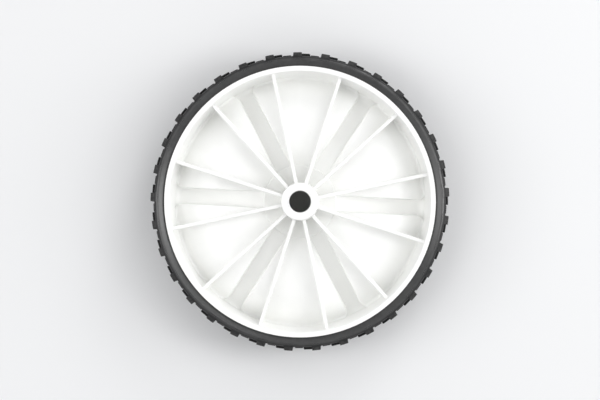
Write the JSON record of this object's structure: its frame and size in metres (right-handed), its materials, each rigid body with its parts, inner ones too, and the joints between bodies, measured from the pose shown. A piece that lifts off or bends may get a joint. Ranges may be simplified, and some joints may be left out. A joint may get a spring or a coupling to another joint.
{
  "type": "wheel",
  "caption": "Ribbed white plastic wheel with hollow spokes, a plain axle bore and a black rubber tyre with staggered tread blocks, for a small push mower.",
  "frame": {"origin": "on the axle's line, in the plane of the outboard rim lip that the wheel rests on", "axes": "+Z along the axle towards the ribbed inboard side; +X along one of the hollow spokes"},
  "size_m": [0.1778, 0.1778, 0.0387],
  "materials": {
    "white_plastic": "semi-gloss white injection-moulded polypropylene",
    "tyre_rubber": "matt black moulded rubber"
  },
  "bodies": {
    "root": {"wheel_body": "white_plastic", "tyre": "tyre_rubber"}
  },
  "joints": []
}
